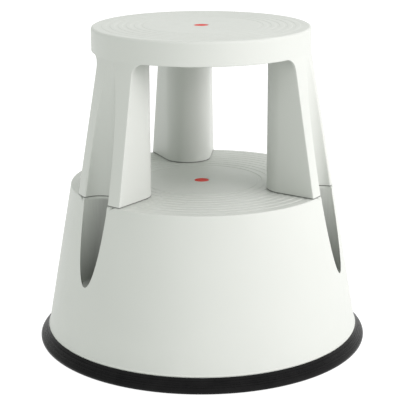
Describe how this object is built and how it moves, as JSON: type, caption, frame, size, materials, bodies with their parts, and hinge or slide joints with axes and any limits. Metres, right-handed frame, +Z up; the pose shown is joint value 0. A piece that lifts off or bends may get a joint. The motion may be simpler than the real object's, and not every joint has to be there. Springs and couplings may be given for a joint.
{
  "type": "kick step stool",
  "caption": "Round two-step plastic kick stool: flat top step on hollow legs over a conical drum with a lower step, a bumper ring and hidden sprung castors.",
  "frame": {"origin": "on the floor under the centre of the stool, where the castor treads rest", "axes": "+Z up through the centre of both steps; the legs stand at 90, 210 and 330 degrees from +X, the castors at 30, 150 and 270 degrees"},
  "size_m": [0.4406, 0.4406, 0.43],
  "materials": {
    "body_plastic": "light grey moulded polypropylene, fine satin grain",
    "bumper_rubber": "black soft bumper, low sheen",
    "cap_red": "red satin plastic",
    "zinc_steel": "zinc plated",
    "spring_steel": "oiled spring steel",
    "fork_steel": "pressed zinc-plated sheet",
    "guide_plastic": "black acetal",
    "plunger_plastic": "natural acetal",
    "wheel_plastic": "dark grey nylon",
    "tyre_rubber": "soft grey-black tread"
  },
  "bodies": {
    "stool": {"upper_moulding": "body_plastic", "base_shell": "body_plastic", "bumper_ring": "bumper_rubber", "top_cap": "cap_red", "step_cap": "cap_red", "leg_screws": "zinc_steel", "leg_washers": "zinc_steel", "guide_screws": "zinc_steel", "castor_guide_1": "guide_plastic", "castor_guide_2": "guide_plastic", "castor_guide_3": "guide_plastic", "spring_1": "spring_steel", "spring_2": "spring_steel", "spring_3": "spring_steel", "spring_seat_1": "zinc_steel", "spring_seat_2": "zinc_steel", "spring_seat_3": "zinc_steel"},
    "castor_1_plunger": {"plunger_1": "plunger_plastic"},
    "castor_1_fork": {"fork_1": "fork_steel", "king_pin_1": "zinc_steel", "pin_clip_1": "spring_steel", "swivel_washer_1": "plunger_plastic", "axle_1": "zinc_steel"},
    "castor_1_wheel": {"wheel_1": "wheel_plastic", "tyre_1": "tyre_rubber"},
    "castor_2_plunger": {"plunger_2": "plunger_plastic"},
    "castor_2_fork": {"fork_2": "fork_steel", "king_pin_2": "zinc_steel", "pin_clip_2": "spring_steel", "swivel_washer_2": "plunger_plastic", "axle_2": "zinc_steel"},
    "castor_2_wheel": {"wheel_2": "wheel_plastic", "tyre_2": "tyre_rubber"},
    "castor_3_plunger": {"plunger_3": "plunger_plastic"},
    "castor_3_fork": {"fork_3": "fork_steel", "king_pin_3": "zinc_steel", "pin_clip_3": "spring_steel", "swivel_washer_3": "plunger_plastic", "axle_3": "zinc_steel"},
    "castor_3_wheel": {"wheel_3": "wheel_plastic", "tyre_3": "tyre_rubber"}
  },
  "joints": [
    {"name": "castor_1_slide", "type": "slide", "parent": "stool", "child": "castor_1_plunger", "axis": [0, 0, 1], "range_m": [0, 0.0055], "stiffness_N_per_m": 6000, "springref_m": -0.005, "deforming": ["spring_1"]},
    {"name": "castor_1_swivel", "type": "hinge", "parent": "castor_1_plunger", "child": "castor_1_fork", "pos_m": [0.12731, 0.0735, 0.054], "axis": [0, 0, 1], "continuous": true},
    {"name": "castor_1_roll", "type": "hinge", "parent": "castor_1_fork", "child": "castor_1_wheel", "pos_m": [0.14116, 0.0815, 0.025], "axis": [-0.5, 0.866, 0], "continuous": true},
    {"name": "castor_2_slide", "type": "slide", "parent": "stool", "child": "castor_2_plunger", "axis": [0, 0, 1], "range_m": [0, 0.0055], "stiffness_N_per_m": 6000, "springref_m": -0.005, "deforming": ["spring_2"]},
    {"name": "castor_2_swivel", "type": "hinge", "parent": "castor_2_plunger", "child": "castor_2_fork", "pos_m": [-0.12731, 0.0735, 0.054], "axis": [0, 0, 1], "continuous": true},
    {"name": "castor_2_roll", "type": "hinge", "parent": "castor_2_fork", "child": "castor_2_wheel", "pos_m": [-0.14116, 0.0815, 0.025], "axis": [-0.5, -0.866, 0], "continuous": true},
    {"name": "castor_3_slide", "type": "slide", "parent": "stool", "child": "castor_3_plunger", "axis": [0, 0, 1], "range_m": [0, 0.0055], "stiffness_N_per_m": 6000, "springref_m": -0.005, "deforming": ["spring_3"]},
    {"name": "castor_3_swivel", "type": "hinge", "parent": "castor_3_plunger", "child": "castor_3_fork", "pos_m": [0, -0.147, 0.054], "axis": [0, 0, 1], "continuous": true},
    {"name": "castor_3_roll", "type": "hinge", "parent": "castor_3_fork", "child": "castor_3_wheel", "pos_m": [0, -0.163, 0.025], "axis": [1, 0, 0], "continuous": true}
  ]
}
